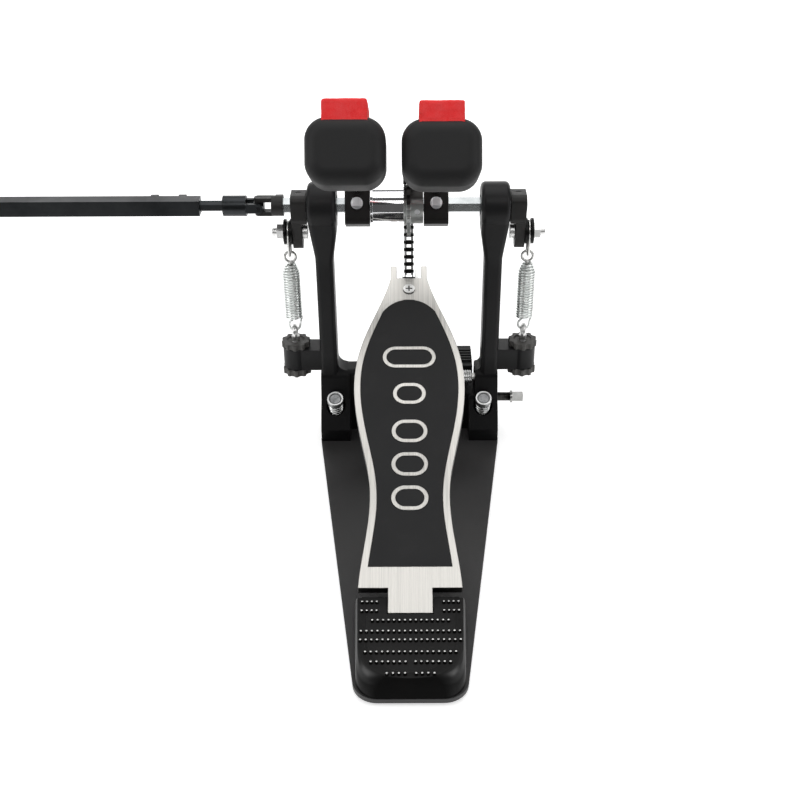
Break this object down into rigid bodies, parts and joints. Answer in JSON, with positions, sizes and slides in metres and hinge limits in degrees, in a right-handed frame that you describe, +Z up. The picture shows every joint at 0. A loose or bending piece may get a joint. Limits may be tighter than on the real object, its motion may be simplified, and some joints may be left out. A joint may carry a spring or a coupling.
{
  "type": "double bass drum pedal",
  "caption": "Floor pedal with a sprung footboard whose chain swings one of two felt beaters, and a jointed linkage shaft that lets a second pedal swing the other.",
  "frame": {"origin": "on the floor, under the middle of the axle", "axes": "+X to the player's right along the axle, +Y towards the drum, +Z up"},
  "size_m": [0.568, 0.336, 0.3028],
  "materials": {
    "black_cast": "satin powder coat",
    "board_metal": "brushed along its length",
    "grip_black": "matte",
    "knob_black": "moulded",
    "head_black": "satin moulded",
    "red_felt": "pressed felt",
    "bright": "bright plated",
    "zinc": "zinc plated",
    "dark_chain": "oiled black steel",
    "linkage_black": "black plated",
    "black_rubber": "fine grain"
  },
  "bodies": {
    "frame": {"base_plate": "black_cast", "base_pad": "black_rubber", "base_screws": "zinc", "heel_plate": "black_cast", "hinge_pin": "bright", "frame_casting": "black_cast", "axle_bearings": "zinc", "small_springs": "zinc", "clamp_pin": "zinc", "right_eyebolt": "zinc", "left_eyebolt": "zinc"},
    "footboard": {"footboard": "board_metal", "grip_panel": "grip_black", "chain_bracket": "zinc", "chain_screw": "bright"},
    "right_axle": {"right_shaft": "bright", "sprocket": "zinc", "chain_wrap": "dark_chain", "centre_sleeve": "bright", "right_hub": "black_cast", "right_rocker": "black_cast", "right_rocker_bolt": "bright", "right_key_screws": "bright"},
    "left_axle": {"left_shaft": "bright", "left_hub": "black_cast", "left_rocker": "black_cast", "left_rocker_bolt": "bright", "left_key_screws": "bright", "near_yoke": "black_cast"},
    "chain_run": {"chain_run": "dark_chain"},
    "clamp_jaw": {"clamp_jaw": "black_cast", "jaw_pad": "black_rubber"},
    "clamp_screw": {"clamp_screw": "zinc"},
    "near_cross": {"near_cross": "linkage_black"},
    "inner_shaft": {"inner_shaft": "linkage_black"},
    "outer_tube": {"outer_tube": "linkage_black", "tube_screws": "bright"},
    "far_cross": {"far_cross": "linkage_black"},
    "end_yoke": {"end_yoke": "black_cast", "end_screw": "bright"},
    "right_beater": {"right_beater_rod": "bright", "right_beater_head": "head_black", "right_beater_felt": "red_felt"},
    "right_link": {"right_link": "zinc"},
    "right_spring": {"right_spring": "zinc"},
    "right_eye": {"right_eye": "zinc"},
    "right_knobs": {"right_knobs": "knob_black"},
    "right_spur": {"right_spur": "bright"},
    "left_beater": {"left_beater_rod": "bright", "left_beater_head": "head_black", "left_beater_felt": "red_felt"},
    "left_link": {"left_link": "zinc"},
    "left_spring": {"left_spring": "zinc"},
    "left_eye": {"left_eye": "zinc"},
    "left_knobs": {"left_knobs": "knob_black"},
    "left_spur": {"left_spur": "bright"}
  },
  "joints": [
    {"name": "right_axle_swing", "type": "hinge", "parent": "frame", "child": "right_axle", "pos_m": [0, 0, 0.19], "axis": [-1, 0, 0], "range_deg": [0, 54], "stiffness_Nm_per_rad": 0.6, "springref_deg": -20.05},
    {"name": "left_axle_swing", "type": "hinge", "parent": "frame", "child": "left_axle", "pos_m": [0, 0, 0.19], "axis": [-1, 0, 0], "range_deg": [0, 54], "stiffness_Nm_per_rad": 0.6, "springref_deg": -20.05},
    {"name": "footboard_hinge", "type": "hinge", "parent": "frame", "child": "footboard", "pos_m": [0, -0.226, 0.016], "axis": [-1, 0, 0], "range_deg": [0, 3.97]},
    {"name": "chain_run_turn", "type": "hinge", "parent": "right_axle", "child": "chain_run", "pos_m": [0, 0.01642, 0.20193], "axis": [1, 0, 0], "range_deg": [0, 56.6]},
    {"name": "right_beater_height", "type": "slide", "parent": "right_axle", "child": "right_beater", "axis": [0, -0.8712, 0.4909], "range_m": [-0.02, 0.03]},
    {"name": "right_link_pivot", "type": "hinge", "parent": "right_axle", "child": "right_link", "pos_m": [0.0865, 0, 0.17], "axis": [1, 0, 0], "range_deg": [0, 64.39]},
    {"name": "right_spring_swing", "type": "hinge", "parent": "frame", "child": "right_spring", "pos_m": [0.0865, 0, 0.08995], "axis": [1, 0, 0], "range_deg": [0, 10.38]},
    {"name": "right_spring_stretch", "type": "slide", "parent": "right_spring", "child": "right_eye", "axis": [0, 0, 1], "range_m": [0, 0.00972], "deforming": ["right_spring"]},
    {"name": "right_knobs_turn", "type": "hinge", "parent": "frame", "child": "right_knobs", "pos_m": [0.0865, 0, 0.07], "axis": [0, 0, 1], "continuous": true},
    {"name": "right_spur_height", "type": "slide", "parent": "frame", "child": "right_spur", "axis": [0, -0.454, 0.891], "range_m": [0, 0.008]},
    {"name": "left_beater_height", "type": "slide", "parent": "left_axle", "child": "left_beater", "axis": [0, -0.8712, 0.4909], "range_m": [-0.02, 0.03]},
    {"name": "left_link_pivot", "type": "hinge", "parent": "left_axle", "child": "left_link", "pos_m": [-0.0865, 0, 0.17], "axis": [1, 0, 0], "range_deg": [0, 64.39]},
    {"name": "left_spring_swing", "type": "hinge", "parent": "frame", "child": "left_spring", "pos_m": [-0.0865, 0, 0.08995], "axis": [1, 0, 0], "range_deg": [0, 10.38]},
    {"name": "left_spring_stretch", "type": "slide", "parent": "left_spring", "child": "left_eye", "axis": [0, 0, 1], "range_m": [0, 0.00972], "deforming": ["left_spring"]},
    {"name": "left_knobs_turn", "type": "hinge", "parent": "frame", "child": "left_knobs", "pos_m": [-0.0865, 0, 0.07], "axis": [0, 0, 1], "continuous": true},
    {"name": "left_spur_height", "type": "slide", "parent": "frame", "child": "left_spur", "axis": [0, -0.454, 0.891], "range_m": [0, 0.008]},
    {"name": "clamp_jaw_turn", "type": "hinge", "parent": "frame", "child": "clamp_jaw", "pos_m": [0, -0.004, 0.05], "axis": [-1, 0, 0], "range_deg": [0, 9]},
    {"name": "clamp_screw_travel", "type": "slide", "parent": "frame", "child": "clamp_screw", "axis": [-1, 0, 0], "range_m": [0, 0.008]},
    {"name": "near_joint_yaw", "type": "hinge", "parent": "left_axle", "child": "near_cross", "pos_m": [-0.106, 0, 0.19], "axis": [0, 0, 1], "range_deg": [-30, 30]},
    {"name": "near_joint_pitch", "type": "hinge", "parent": "near_cross", "child": "inner_shaft", "pos_m": [-0.106, 0, 0.19], "axis": [0, 1, 0], "range_deg": [-30, 30]},
    {"name": "linkage_length", "type": "slide", "parent": "inner_shaft", "child": "outer_tube", "axis": [-1, 0, 0], "range_m": [-0.014, 0.08]},
    {"name": "far_joint_yaw", "type": "hinge", "parent": "outer_tube", "child": "far_cross", "pos_m": [-0.435, 0, 0.19], "axis": [0, 0, 1], "range_deg": [-30, 30]},
    {"name": "far_joint_pitch", "type": "hinge", "parent": "far_cross", "child": "end_yoke", "pos_m": [-0.435, 0, 0.19], "axis": [0, 1, 0], "range_deg": [-30, 30]}
  ],
  "couplings": [
    {"joint": "footboard_hinge", "follows": "right_axle_swing", "ratio": 0.073546},
    {"joint": "chain_run_turn", "follows": "right_axle_swing", "ratio": 1.0481},
    {"joint": "right_link_pivot", "follows": "right_axle_swing", "ratio": 1.1923},
    {"joint": "right_spring_swing", "follows": "right_axle_swing", "ratio": 0.19231},
    {"joint": "right_spring_stretch", "follows": "right_axle_swing", "m_per_rad": 0.010308},
    {"joint": "left_link_pivot", "follows": "left_axle_swing", "ratio": 1.1923},
    {"joint": "left_spring_swing", "follows": "left_axle_swing", "ratio": 0.19231},
    {"joint": "left_spring_stretch", "follows": "left_axle_swing", "m_per_rad": 0.010308},
    {"joint": "clamp_screw_travel", "follows": "clamp_jaw_turn", "m_per_rad": 0.050924}
  ]
}
